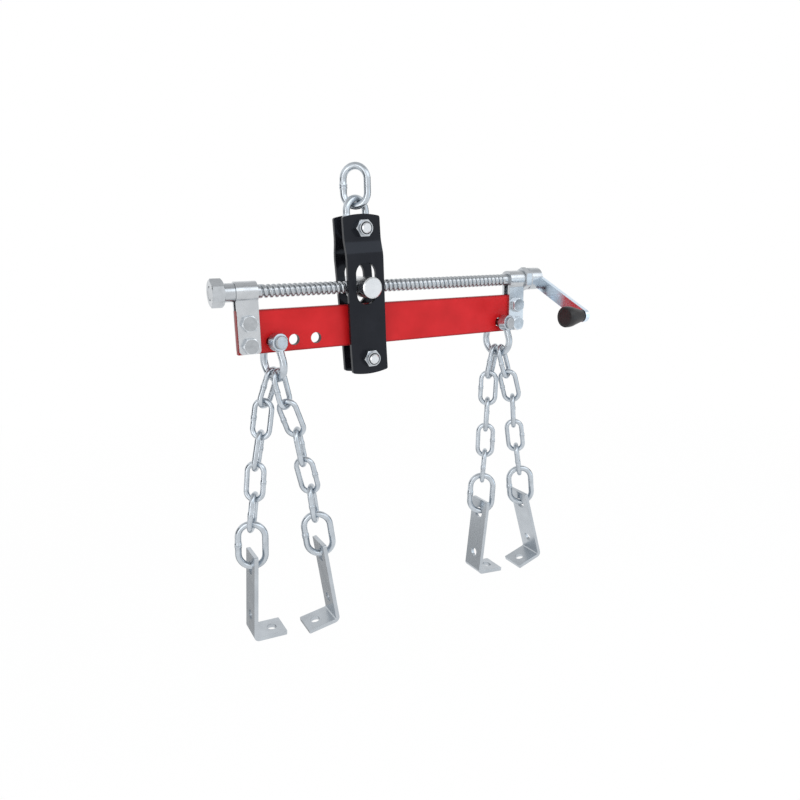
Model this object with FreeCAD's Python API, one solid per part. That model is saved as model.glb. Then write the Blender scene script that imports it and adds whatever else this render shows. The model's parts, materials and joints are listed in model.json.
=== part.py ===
import FreeCAD, Part
import math
import os

# Engine load leveler: a beam hung from a lifting ring by a carriage that a crank screw moves along it.
# +X runs along the beam towards the crank, -Y faces the front, +Z is up, sizes are in millimetres.
# The origin is the inside crown of the lifting ring, where the crane hook bears.

V = FreeCAD.Vector
X_AXIS = V(1, 0, 0)
Y_AXIS = V(0, 1, 0)
Z_AXIS = V(0, 0, 1)
ORIGIN = V(0, 0, 0)

# Clearances
link_gap = 0.35              # between the round wires of two linked pieces
bow_gap = 2.3                # first link over the curved foot of the shackle bow
running_fit = 0.05           # radial, shaft in bore
thread_clearance = 0.02      # radial, fastener in its own nut
bolt_hole_clearance = 0.5    # radial, fastener in a punched hole
slot_clearance = 0.75        # each side of the trunnion in the slot
roller_gap = 0.6             # roller below the beam, used up when the beam tilts
roller_side_gap = 0.5        # each side of the roller between the plates
tiny = 0.01                  # closeness used when picking edges

# Lifting ring and eye link
lift_wire = 8.5
lift_length = 54.0           # outside
lift_width = 39.0            # outside
ring_yaw = -47.0             # degrees about Z
eye_yaw = 17.0

# Carriage
carriage_lean = 2.4          # degrees, foot of the carriage towards the crank
bolt_d = 12.0
bolt_flats = 19.0
bolt_head_height = 7.5
bolt_tip = 2.0               # stands out of the lock nut
lock_nut_height = 12.0
lock_nut_hex_height = 8.0
lock_nut_collar_d = 17.0
insert_d = 14.6
insert_height = 2.6
insert_recess = 0.6
plate_thickness = 5.0
plate_width = 48.0
plate_top_margin = 16.5      # crown of the plate above the top bolt
plate_foot_margin = 20.0     # crown of the plate below the bottom bolt
plate_crown = 3.0            # rise of the curved top and bottom edges
plate_corner = 2.5
top_half_gap = 10.5          # half the space between the plates at the top bolt
middle_half_gap = 15.0       # just under the joggle
foot_half_gap = 9.5          # at the bottom bolt
joggle_start = 13.5          # below the top bolt
joggle_height = 17.5
foot_flat = 20.0             # flat seat above the bottom bolt
bolt_to_trunnion = 68.8
trunnion_d = 25.0
trunnion_stand_out = 17.0    # out of each plate
trunnion_chamfer = 1.5
slot_length = 50.0
slot_rise = 4.2              # slot centre above the trunnion
roller_d = 30.8

# Beam and screw
beam_length = 407.5
beam_height = 50.0
beam_thickness = 8.0
beam_edge = 0.8
beam_left_reach = 156.8      # left end of the beam to the trunnion axis
screw_above_beam = 20.5      # screw axis over the top edge
screw_d = 16.0
thread_pitch = 6.4
thread_depth = 2.0
thread_crest_drop = 0.1      # crest below the plain ends of the screw
strap_thickness = 4.0
strap_width = 25.0
strap_corner = 4.0
strap_foot = 0.8             # foot of the strap above the beam's lower edge
strap_inset = 0.6            # strap edge inside the beam's end
clamp_bolt_d = 10.0
clamp_bolt_flats = 17.0
clamp_head_height = 6.5
clamp_head_spins = (8, 0, 30, 22)    # degrees, from the upper left to the lower right
clamp_bolt_pitch = 25.4
clamp_bolt_drop = 14.3       # upper clamp bolt below the beam's top edge
clamp_nut_height = 8.5
clamp_bolt_tip = 2.0
hole_d = 13.0
hole_pitch = 27.5
hole_above_foot = 13.0       # hole centres over the beam's lower edge
left_hole_inset = 39.5       # outermost left hole from the beam's end
right_hole_inset = 39.8
spare_hole_count = 2

# Screw ends and crank
screw_nut_flats = 28.0
end_nut_height = 14.0
sleeve_d = 21.0
sleeve_length = 12.5
jam_nut_height = 9.5
hub_d = 30.0
hub_length = 20.0
hub_chamfer = 1.2
roll_pin_d = 5.0
arm_length = 108.0           # crank centre to grip centre
arm_width = 17.0
arm_thickness = 6.0
arm_drop = 24.5              # degrees below level, towards the front
arm_seat = 13.5              # arm face from the inner end of the hub
pin_seat = 5.0               # roll pin from the inner end of the hub
spindle_d = 8.0
grip_length = 30.0
grip_gap = 0.5
grip_wide_d = 27.0
grip_narrow_d = 15.0
grip_rim = 9.0               # straight part at the wide end
grip_round = 2.0
spindle_cap = 3.0            # spindle stops short of the grip's wide end

# Shackles
shackle_wire = 9.0
shackle_yaw = 16.0           # degrees, pin head towards the crank
shackle_lean = {"left": 5.0, "right": 3.0}     # degrees, foot of the bow towards the crank
shackle_gap = 18.0           # between the eyes
shackle_eye_d = 21.0
shackle_eye_thickness = 11.5
shackle_bow_d = 40.0         # wire centre to wire centre
shackle_drop = 45.5          # pin axis to wire centre at the bow's foot
shackle_pin_d = 9.5
shackle_head_d = 16.0
shackle_head_height = 3.5
shackle_head_round = 1.5
shackle_pin_tip = 2.0
chain_offset = 5.6           # each chain beside the middle of the bow

# Chains, rings and brackets
chain_wire = 6.5
chain_length = 52.2          # outside
chain_width = 27.5           # outside
big_wire = 8.0
big_length = 63.5            # outside
big_width = 41.0             # outside
bracket_width = 36.0
bracket_thickness = 5.0
bracket_leg = 112.0
bracket_foot = 43.0
bracket_bend = 7.0           # outside radius
bracket_ring_hole_d = 16.0
bracket_hole_d = 12.0
ring_hole_drop = 20.0        # from the top of the leg
leg_hole_rise = 29.0         # from the underside of the foot
foot_hole_inset = 15.0       # from the tip of the foot
bracket_corner = 1.5

# How each chain hangs: lean of every link, the ring and the bracket in degrees, foot towards the crank,
# then the side of the bow, the turn of the links about the chain, the way the bracket's foot points, and
# how far the ring's wire, which crosses the hole at a slant, lies below the hole's top as a share of its
# diameter.
chains = {
    "left_outer": dict(side="left", bow=-1, leans=(-21, -10, -12, -7, -9), ring_lean=-3,
                       bracket_lean=-4, first_turn=38, face_turn=-38, edge_turn=58,
                       ring_turn=-24, foot_way=1, hole_share=0.115),
    "left_inner": dict(side="left", bow=1, leans=(11, 18, 9, 12, 6.5), ring_lean=6.4,
                       bracket_lean=7.5, first_turn=38, face_turn=-38, edge_turn=58,
                       ring_turn=-24, foot_way=-1, hole_share=0.12),
    "right_inner": dict(side="right", bow=-1, leans=(-14, -3, -3, -2, -5), ring_lean=-4,
                        bracket_lean=-7, first_turn=34, face_turn=-40, edge_turn=50,
                        ring_turn=-28, foot_way=1, hole_share=0.147),
    "right_outer": dict(side="right", bow=1, leans=(18, 17, 5, 9, 11), ring_lean=6,
                        bracket_lean=16, first_turn=34, face_turn=-40, edge_turn=50,
                        ring_turn=-28, foot_way=-1, hole_share=0.19),
}

# Places worked out from the sizes above
ring_foot_z = lift_wire / 2 - (lift_length - lift_wire)
eye_top_z = ring_foot_z + lift_wire + link_gap
eye_foot_z = eye_top_z - (lift_length - lift_wire)
top_bolt_z = eye_foot_z + lift_wire / 2 + bolt_d / 2 + link_gap
lean = math.radians(carriage_lean)
trunnion_x = bolt_to_trunnion * math.sin(lean)
trunnion_z = top_bolt_z - bolt_to_trunnion * math.cos(lean)
screw_z = trunnion_z
beam_top = screw_z - screw_above_beam
beam_foot = beam_top - beam_height
beam_left = trunnion_x - beam_left_reach
beam_right = beam_left + beam_length
hole_z = beam_foot + hole_above_foot
left_hole_x = beam_left + left_hole_inset
right_hole_x = beam_right - right_hole_inset
trunnion_to_bottom_bolt = screw_above_beam + beam_height + roller_gap + roller_d / 2
bottom_bolt_drop = bolt_to_trunnion + trunnion_to_bottom_bolt
strap_inner_r = screw_d / 2 + running_fit
strap_outer_r = strap_inner_r + strap_thickness
strap_face_y = beam_thickness / 2 + strap_thickness
strap_left = {"left": beam_left + strap_inset, "right": beam_right - strap_inset - strap_width}
clamp_bolt_z = (beam_top - clamp_bolt_drop, beam_top - clamp_bolt_drop - clamp_bolt_pitch)
sleeve_left = strap_left["left"] - running_fit - sleeve_length
screw_left = sleeve_left - end_nut_height
jam_left = strap_left["right"] + strap_width + running_fit
hub_left = jam_left + jam_nut_height
screw_right = hub_left + hub_length
arm_left = hub_left + arm_seat
arm_way = V(0, -math.cos(math.radians(arm_drop)), -math.sin(math.radians(arm_drop)))
grip_centre = V(0, 0, screw_z) + arm_way * arm_length
grip_right = arm_left - grip_gap


def cylinder(radius, length, base, axis):
    return Part.makeCylinder(radius, length, base, axis)


def tube(outer, inner, length, base, axis):
    return cylinder(outer, length, base, axis).cut(cylinder(inner, length, base, axis))


def hexagon(flats, height, base, axis, spin=0.0):
    """Hexagonal prism with its corners chamfered at both ends, standing on base along axis."""
    corner = flats / math.sqrt(3)
    points = []
    for k in range(7):
        angle = math.radians(60 * k + spin)
        points.append(V(corner * math.cos(angle), corner * math.sin(angle), 0))
    prism = Part.Face(Part.makePolygon(points)).extrude(V(0, 0, height))
    rise = (corner - flats / 2) * math.tan(math.radians(30))
    barrel = Part.makeCone(flats / 2, corner, rise)
    barrel = barrel.fuse(Part.makeCylinder(corner, height - 2 * rise, V(0, 0, rise)))
    barrel = barrel.fuse(Part.makeCone(corner, flats / 2, rise, V(0, 0, height - rise)))
    prism = prism.common(barrel.removeSplitter())
    prism.Placement = FreeCAD.Placement(base, FreeCAD.Rotation(Z_AXIS, axis))
    return prism


def half_bend(bend, wire, angle):
    """Half a turn of round wire in the X-Z plane about the origin, tipped to its place about X."""
    turn = Part.makeTorus(bend, wire / 2, ORIGIN, Z_AXIS, 0, 360, 180)
    turn.rotate(ORIGIN, X_AXIS, angle)
    return turn


def rod_ring(length, width, wire):
    """Oval link of round wire in the X-Z plane, centred on the origin, long along Z."""
    bend = (width - wire) / 2
    straight = length - width
    top = half_bend(bend, wire, 90)
    top.translate(V(0, 0, straight / 2))
    foot = half_bend(bend, wire, -90)
    foot.translate(V(0, 0, -straight / 2))
    legs = [cylinder(wire / 2, straight, V(side * bend, 0, -straight / 2), Z_AXIS) for side in (-1, 1)]
    return top.fuse([foot] + legs).removeSplitter()


def hang(turn, leaning):
    """Rotation that turns a piece about Z and then leans its foot towards +X."""
    return FreeCAD.Rotation(Y_AXIS, -leaning).multiply(FreeCAD.Rotation(Z_AXIS, turn))


def put(shape, base, rotation):
    placed = shape.copy()
    placed.Placement = FreeCAD.Placement(base, rotation)
    return placed


def lift_link(foot_z, yaw):
    centre = V(0, 0, foot_z + (lift_length - lift_wire) / 2)
    return put(rod_ring(lift_length, lift_width, lift_wire), centre, hang(yaw, 0))


# The carriage is drawn upright about its top bolt and then leaned as one.
def carriage(shape):
    leaned = shape.copy()
    leaned.rotate(ORIGIN, Y_AXIS, -carriage_lean)
    leaned.translate(V(0, 0, top_bolt_z))
    return leaned


def half_gap_at(drop):
    """Half the space between the plates, at a distance below the top bolt."""
    sloped_from = joggle_start + joggle_height
    sloped_to = bottom_bolt_drop - foot_flat
    share = (drop - sloped_from) / (sloped_to - sloped_from)
    return middle_half_gap + share * (foot_half_gap - middle_half_gap)


def side_plate(way):
    """Joggled side plate; way is -1 for the front plate and 1 for the rear one."""
    crown = plate_top_margin
    foot = -bottom_bolt_drop - plate_foot_margin
    inner = [(top_half_gap, crown), (top_half_gap, -joggle_start),
             (middle_half_gap, -joggle_start - joggle_height),
             (foot_half_gap, -bottom_bolt_drop + foot_flat), (foot_half_gap, foot)]
    outline = [V(-plate_width, way * y, z) for y, z in inner]
    outline += [V(-plate_width, way * (y + plate_thickness), z) for y, z in reversed(inner)]
    bent = Part.Face(Part.makePolygon(outline + outline[:1])).extrude(V(2 * plate_width, 0, 0))
    half = plate_width / 2
    deep = middle_half_gap + 2 * plate_thickness
    corners = [V(-half, -deep, foot + plate_crown), V(half, -deep, foot + plate_crown),
               V(half, -deep, crown - plate_crown), V(-half, -deep, crown - plate_crown)]
    rim = Part.Wire([Part.Arc(corners[0], V(0, -deep, foot), corners[1]).toShape(),
                     Part.makeLine(corners[1], corners[2]),
                     Part.Arc(corners[2], V(0, -deep, crown), corners[3]).toShape(),
                     Part.makeLine(corners[3], corners[0])])
    blank = Part.Face(rim).extrude(V(0, 2 * deep, 0))
    upright = [e for e in blank.Edges if abs(e.tangentAt(e.FirstParameter).y) > 1 - tiny]
    blank = blank.makeFillet(plate_corner, upright)
    plate = bent.common(blank)
    slot_r = trunnion_d / 2 + slot_clearance
    slot_centre = -bolt_to_trunnion + slot_rise
    slot_half = slot_length / 2 - slot_r
    for end in (-1, 1):
        plate = plate.cut(cylinder(slot_r, 2 * deep, V(0, -deep, slot_centre + end * slot_half), Y_AXIS))
    window = Part.makeBox(2 * slot_r, 2 * deep, 2 * slot_half, V(-slot_r, -deep, slot_centre - slot_half))
    plate = plate.cut(window)
    for drop in (0, bottom_bolt_drop):
        plate = plate.cut(cylinder(bolt_d / 2 + bolt_hole_clearance, 2 * deep, V(0, -deep, -drop), Y_AXIS))
    return carriage(plate)


def carriage_bolt(drop, half_gap):
    """Bolt through both plates with its head at the rear."""
    seat = half_gap + plate_thickness
    length = 2 * seat + lock_nut_height + bolt_tip
    bolt = cylinder(bolt_d / 2, length, V(0, seat, -drop), V(0, -1, 0))
    bolt = bolt.fuse(hexagon(bolt_flats, bolt_head_height, V(0, seat, -drop), Y_AXIS))
    return carriage(bolt.removeSplitter())


def lock_nut(drop, half_gap):
    """Lock nut on the front plate: hexagon, round collar and a recess for the insert."""
    base = V(0, -half_gap - plate_thickness, -drop)
    front = V(0, -1, 0)
    nut = hexagon(bolt_flats, lock_nut_hex_height, base, front)
    nut = nut.fuse(cylinder(lock_nut_collar_d / 2, lock_nut_height, base, front))
    nut = nut.cut(cylinder(bolt_d / 2 + thread_clearance, lock_nut_height, base, front))
    depth = lock_nut_height - insert_height - insert_recess
    nut = nut.cut(cylinder(insert_d / 2, lock_nut_height, base + front * depth, front))
    return carriage(nut.removeSplitter())


def lock_insert(drop, half_gap):
    depth = lock_nut_height - insert_height - insert_recess
    base = V(0, -half_gap - plate_thickness - depth, -drop)
    inner = bolt_d / 2 + thread_clearance
    return carriage(tube(insert_d / 2 - thread_clearance, inner, insert_height, base, V(0, -1, 0)))


def bottom_roller():
    width = 2 * (foot_half_gap - roller_side_gap)
    base = V(0, -width / 2, -bottom_bolt_drop)
    return carriage(tube(roller_d / 2, bolt_d / 2 + running_fit, width, base, Y_AXIS))


def travelling_nut():
    """Barrel with a trunnion at each end, crossed by the screw."""
    half = half_gap_at(bolt_to_trunnion) + plate_thickness + trunnion_stand_out
    barrel = cylinder(trunnion_d / 2, 2 * half, V(0, -half, 0), Y_AXIS)
    rims = [e for e in barrel.Edges if abs(e.BoundBox.YLength) < tiny]
    barrel = barrel.makeChamfer(trunnion_chamfer, rims)
    barrel.translate(V(trunnion_x, 0, screw_z))
    bore = cylinder(screw_d / 2 + link_gap, 2 * trunnion_d, V(trunnion_x - trunnion_d, 0, screw_z), X_AXIS)
    return barrel.cut(bore)


def beam():
    bar = Part.makeBox(beam_length, beam_thickness, beam_height, V(beam_left, -beam_thickness / 2, beam_foot))
    long_edges = [e for e in bar.Edges if abs(e.BoundBox.XLength - beam_length) < tiny]
    bar = bar.makeFillet(beam_edge, long_edges)
    drillings = [(right_hole_x, hole_z, hole_d)]
    for k in range(spare_hole_count + 1):
        drillings.append((left_hole_x + k * hole_pitch, hole_z, hole_d))
    for side in ("left", "right"):
        for z in clamp_bolt_z:
            drillings.append((strap_left[side] + strap_width / 2, z, clamp_bolt_d + 2 * bolt_hole_clearance))
    for x, z, diameter in drillings:
        bar = bar.cut(cylinder(diameter / 2, 2 * beam_thickness, V(x, -beam_thickness, z), Y_AXIS))
    return bar


def clamp_strap(side):
    """Strap bent round the screw, with both legs flat on the beam."""
    start = strap_left[side]
    loop = cylinder(strap_outer_r, strap_width, V(start, 0, screw_z), X_AXIS)
    leg_foot = beam_foot + strap_foot
    stem = Part.makeBox(strap_width, 2 * strap_face_y, screw_z - leg_foot, V(start, -strap_face_y, leg_foot))
    strap = loop.fuse(stem).removeSplitter()
    necks = [e for e in strap.Edges
             if abs(e.BoundBox.XLength - strap_width) < tiny
             and abs(abs(e.CenterOfMass.y) - strap_face_y) < tiny and e.CenterOfMass.z > beam_top]
    strap = strap.makeFillet(strap_corner, necks)
    corners = [e for e in strap.Edges
               if abs(e.BoundBox.YLength - 2 * strap_face_y) < tiny and e.CenterOfMass.z < beam_top]
    strap = strap.makeFillet(strap_corner, corners)
    strap = strap.cut(cylinder(strap_inner_r, strap_width, V(start, 0, screw_z), X_AXIS))
    throat = Part.makeBox(strap_width, beam_thickness, screw_z - leg_foot,
                          V(start, -beam_thickness / 2, leg_foot))
    strap = strap.cut(throat)
    for z in clamp_bolt_z:
        base = V(start + strap_width / 2, -2 * strap_face_y, z)
        strap = strap.cut(cylinder(clamp_bolt_d / 2 + bolt_hole_clearance, 4 * strap_face_y, base, Y_AXIS))
    return strap


def clamp_bolt(x, z, spin):
    """Bolt with its head in front, which was left turned by spin when it was tightened."""
    length = 2 * strap_face_y + clamp_nut_height + clamp_bolt_tip
    bolt = cylinder(clamp_bolt_d / 2, length, V(x, -strap_face_y, z), Y_AXIS)
    head = hexagon(clamp_bolt_flats, clamp_head_height, V(x, -strap_face_y, z), V(0, -1, 0), spin)
    return bolt.fuse(head).removeSplitter()


def clamp_nut(x, z):
    base = V(x, strap_face_y, z)
    nut = hexagon(clamp_bolt_flats, clamp_nut_height, base, Y_AXIS)
    return nut.cut(cylinder(clamp_bolt_d / 2 + thread_clearance, clamp_nut_height, base, Y_AXIS))


def thread_body(turns):
    """Round rolled thread along Z: the rim of an eccentric disc carried round and up, one turn repeated."""
    throw = thread_depth / 2
    radius = screw_d / 2 - thread_crest_drop - throw
    turn = Part.makeHelix(thread_pitch, thread_pitch, throw)
    sweep = Part.BRepOffsetAPI.MakePipeShell(Part.Wire(turn.Edges))
    sweep.setTrihedronMode(ORIGIN, Z_AXIS)
    sweep.add(Part.Wire(Part.makeCircle(radius, V(throw, 0, 0), Z_AXIS)))
    sweep.build()
    one_turn = sweep.shape()
    faces = [Part.Face(Part.Wire(Part.makeCircle(radius, V(throw, 0, z), Z_AXIS)))
             for z in (0, turns * thread_pitch)]
    for k in range(turns):
        copy = one_turn.copy()
        copy.translate(V(0, 0, k * thread_pitch))
        faces += copy.Faces
    shell = Part.makeShell(faces)
    shell.sewShape()
    return Part.makeSolid(shell)


def lead_screw():
    """Screw with plain ends and a thread of whole turns between the clamps."""
    inner_left = strap_left["left"] + strap_width
    span = strap_left["right"] - inner_left
    turns = math.floor(span / thread_pitch)
    thread_left = inner_left + (span - turns * thread_pitch) / 2
    thread_right = thread_left + turns * thread_pitch
    thread = thread_body(turns)
    thread.rotate(ORIGIN, Y_AXIS, 90)
    thread.translate(V(thread_left, 0, screw_z))
    left = cylinder(screw_d / 2, thread_left - screw_left, V(screw_left, 0, screw_z), X_AXIS)
    right = cylinder(screw_d / 2, screw_right - thread_right, V(thread_right, 0, screw_z), X_AXIS)
    right = right.cut(roll_pin(roll_pin_d / 2 + thread_clearance))
    return thread.fuse([left, right])


def roll_pin(radius):
    """Pin straight down through the hub and the screw."""
    return cylinder(radius, hub_d, V(hub_left + pin_seat, 0, screw_z - hub_d / 2), Z_AXIS)


def screw_nut(left, height):
    nut = hexagon(screw_nut_flats, height, V(left, 0, screw_z), X_AXIS)
    return nut.cut(cylinder(screw_d / 2 + thread_clearance, height, V(left, 0, screw_z), X_AXIS))


def crank_hub():
    hub = cylinder(hub_d / 2, hub_length, V(hub_left, 0, screw_z), X_AXIS)
    rims = [e for e in hub.Edges if abs(e.BoundBox.XLength) < tiny]
    hub = hub.makeChamfer(hub_chamfer, rims)
    hub = hub.cut(cylinder(screw_d / 2 + thread_clearance, hub_length, V(hub_left, 0, screw_z), X_AXIS))
    return hub.cut(roll_pin(roll_pin_d / 2 + thread_clearance))


def crank_arm():
    """Flat bar from the hub to the grip, with a round outer end."""
    half = arm_width / 2
    bar = Part.makeBox(arm_thickness, arm_length, arm_width, V(arm_left, -arm_length, -half))
    bar = bar.fuse(cylinder(half, arm_thickness, V(arm_left, -arm_length, 0), X_AXIS)).removeSplitter()
    bar.rotate(ORIGIN, X_AXIS, arm_drop)
    bar.translate(V(0, 0, screw_z))
    bar = bar.cut(cylinder(hub_d / 2, arm_thickness, V(arm_left, 0, screw_z), X_AXIS))
    spindle_seat = V(arm_left, grip_centre.y, grip_centre.z)
    return bar.cut(cylinder(spindle_d / 2 + thread_clearance, arm_thickness, spindle_seat, X_AXIS))


def grip_spindle():
    length = arm_thickness + grip_gap + grip_length - spindle_cap
    base = V(arm_left + arm_thickness - length, grip_centre.y, grip_centre.z)
    return cylinder(spindle_d / 2, length, base, X_AXIS)


def crank_grip():
    """Tapered grip, wide at its free end, closed over the spindle."""
    wide = grip_wide_d / 2
    narrow = grip_narrow_d / 2
    points = [ORIGIN, V(wide, 0, 0), V(wide, 0, grip_rim), V(narrow, 0, grip_length), V(0, 0, grip_length)]
    grip = Part.Face(Part.makePolygon(points + points[:1])).revolve(ORIGIN, Z_AXIS, 360)
    rims = [e for e in grip.Edges if e.Closed and e.CenterOfMass.z < grip_length - tiny]
    grip = grip.makeFillet(grip_round, rims)
    bore = cylinder(spindle_d / 2 + running_fit, grip_length, V(0, 0, spindle_cap - grip_gap), Z_AXIS)
    grip = grip.cut(bore)
    base = V(grip_right - grip_length, grip_centre.y, grip_centre.z)
    return put(grip, base, FreeCAD.Rotation(Z_AXIS, X_AXIS))


shackle_turn = {}
for end_name in ("left", "right"):
    leaned = FreeCAD.Rotation(Y_AXIS, -shackle_lean[end_name])
    shackle_turn[end_name] = FreeCAD.Rotation(Z_AXIS, shackle_yaw).multiply(leaned)
shackle_place = {"left": V(left_hole_x, 0, hole_z), "right": V(right_hole_x, 0, hole_z)}


def shackle_bow(side):
    """Bow shackle in its own Y-Z plane, hanging from the pin at the origin."""
    bend = shackle_bow_d / 2
    centre_z = bend - shackle_drop
    eye_y = (shackle_gap + shackle_wire) / 2
    reach = math.hypot(eye_y, centre_z)
    tangent = math.atan2(-centre_z, eye_y) - math.acos(bend / reach)
    touch = V(0, bend * math.cos(tangent), centre_z + bend * math.sin(tangent))
    leg = V(0, eye_y, 0) - touch
    sweep_angle = 180 + 2 * math.degrees(tangent)
    bow = Part.makeTorus(bend, shackle_wire / 2, ORIGIN, Z_AXIS, -180, 180, sweep_angle)
    bow.rotate(ORIGIN, Z_AXIS, 180 - math.degrees(tangent))
    bow.Placement = FreeCAD.Placement(V(0, 0, centre_z), FreeCAD.Rotation(Y_AXIS, Z_AXIS, X_AXIS, "ZXY")) \
        .multiply(bow.Placement)
    for way in (-1, 1):
        foot = V(0, way * touch.y, touch.z)
        bow = bow.fuse(cylinder(shackle_wire / 2, leg.Length, foot, V(0, way * leg.y, leg.z)))
        inner = V(0, way * shackle_gap / 2, 0)
        bow = bow.fuse(cylinder(shackle_eye_d / 2, shackle_eye_thickness, inner, V(0, way, 0)))
    half = shackle_gap / 2
    slit = Part.makeBox(2 * shackle_eye_d, shackle_gap, shackle_eye_d,
                        V(-shackle_eye_d, -half, -shackle_eye_d / 2))
    bow = bow.cut(slit)
    pin_bore = shackle_pin_d / 2 + thread_clearance
    bow = bow.cut(cylinder(pin_bore, 4 * shackle_gap, V(0, -2 * shackle_gap, 0), Y_AXIS))
    return put(bow.removeSplitter(), shackle_place[side], shackle_turn[side])


def shackle_pin(side):
    reach = shackle_gap / 2 + shackle_eye_thickness
    pin = cylinder(shackle_pin_d / 2, 2 * reach + shackle_pin_tip, V(0, -reach, 0), Y_AXIS)
    head = cylinder(shackle_head_d / 2, shackle_head_height, V(0, -reach, 0), V(0, -1, 0))
    rim = [e for e in head.Edges if e.Closed and e.CenterOfMass.y < -reach - tiny]
    head = head.makeFillet(shackle_head_round, rim)
    return put(pin.fuse(head).removeSplitter(), shackle_place[side], shackle_turn[side])


def bracket_blank(foot_way):
    """Angle bracket with its ring hole at the origin, leg down along Z and foot along X."""
    top = ring_hole_drop
    sole = top - bracket_leg
    half = bracket_thickness / 2
    bend_in = bracket_bend - bracket_thickness
    turn = math.cos(math.radians(45))
    out_centre = (-half + bracket_bend, sole + bracket_bend)
    points = {
        "heel_up": (-half, sole + bracket_bend), "top_out": (-half, top), "top_in": (half, top),
        "inner_up": (half, sole + bracket_bend), "inner_foot": (out_centre[0], sole + bracket_thickness),
        "tip_top": (bracket_foot - half, sole + bracket_thickness), "tip_foot": (bracket_foot - half, sole),
        "heel_foot": (out_centre[0], sole),
        "inner_mid": (out_centre[0] - bend_in * turn, out_centre[1] - bend_in * turn),
        "heel_mid": (out_centre[0] - bracket_bend * turn, out_centre[1] - bracket_bend * turn),
    }
    at = {}
    for name, (x, z) in points.items():
        at[name] = V(foot_way * x, -bracket_width / 2, z)
    rim = [Part.makeLine(at["heel_up"], at["top_out"]), Part.makeLine(at["top_out"], at["top_in"]),
           Part.makeLine(at["top_in"], at["inner_up"]),
           Part.Arc(at["inner_up"], at["inner_mid"], at["inner_foot"]).toShape(),
           Part.makeLine(at["inner_foot"], at["tip_top"]), Part.makeLine(at["tip_top"], at["tip_foot"]),
           Part.makeLine(at["tip_foot"], at["heel_foot"]),
           Part.Arc(at["heel_foot"], at["heel_mid"], at["heel_up"]).toShape()]
    blank = Part.Face(Part.Wire(rim)).extrude(V(0, bracket_width, 0))
    ends = [e for e in blank.Edges
            if abs(e.Length - bracket_thickness) < tiny
            and (e.CenterOfMass.z > top - tiny or abs(e.CenterOfMass.x) > bracket_foot - bracket_thickness)]
    blank = blank.makeFillet(bracket_corner, ends)
    across = 4 * bracket_thickness
    blank = blank.cut(cylinder(bracket_ring_hole_d / 2, across, V(-across / 2, 0, 0), X_AXIS))
    leg_hole = V(-across / 2, 0, sole + leg_hole_rise)
    blank = blank.cut(cylinder(bracket_hole_d / 2, across, leg_hole, X_AXIS))
    foot_hole = V(foot_way * (bracket_foot - half - foot_hole_inset), 0, sole - bracket_thickness)
    return blank.cut(cylinder(bracket_hole_d / 2, across, foot_hole, Z_AXIS))


parts = {}
hinges = {}           # chain piece: point on the wire that it swings on, and the way of that wire
bracket_places = {}   # chain: centre of the bracket's ring hole, and the bracket's rotation


def add_chain(name, plan):
    """Five links, a ring and a bracket, each hung on the wire of the piece above it."""
    chain_link = rod_ring(chain_length, chain_width, chain_wire)
    ring = rod_ring(big_length, big_width, big_wire)
    turns = [plan["first_turn"], plan["face_turn"], plan["edge_turn"], plan["face_turn"], plan["edge_turn"]]
    pieces = []
    for k in range(len(plan["leans"])):
        label = f"{name}_link_{k + 1}"
        pieces.append((label, chain_link, chain_length, chain_wire, turns[k], plan["leans"][k]))
    pieces.append((f"{name}_ring", ring, big_length, big_wire, plan["ring_turn"], plan["ring_lean"]))

    bend = shackle_bow_d / 2
    along = plan["bow"] * chain_offset
    drop = -shackle_drop + bend - math.sqrt(bend * bend - along * along)
    turned = shackle_turn[plan["side"]]
    wire_at = shackle_place[plan["side"]] + turned.multVec(V(0, -along, drop))
    wire_way = turned.multVec(V(0, -math.sqrt(bend * bend - along * along) / bend, along / bend))
    wire_r = shackle_wire / 2
    gap = bow_gap
    above = Z_AXIS
    for label, shape, length, wire, turn, leaning in pieces:
        rotation = hang(turn, leaning)
        up = rotation.multVec(Z_AXIS)
        mean_up = (up + above).normalize()
        half = (length - wire) / 2
        crown = wire_at + mean_up * (wire_r + wire / 2 + gap)
        centre = crown - up * half
        parts[label] = put(shape, centre, rotation)
        hinges[label] = (wire_at, wire_way)
        wire_at = centre - up * half
        wire_way = rotation.multVec(X_AXIS)
        wire_r = wire / 2
        gap = link_gap
        above = up
    rotation = hang(0, plan["bracket_lean"])
    seat = bracket_ring_hole_d * (0.5 - plan["hole_share"]) - wire_r
    hole_at = wire_at - rotation.multVec(Z_AXIS) * seat
    parts[f"{name}_bracket"] = put(bracket_blank(plan["foot_way"]), hole_at, rotation)
    hinges[f"{name}_bracket"] = (wire_at, wire_way)
    bracket_places[name] = (hole_at, rotation)


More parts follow.
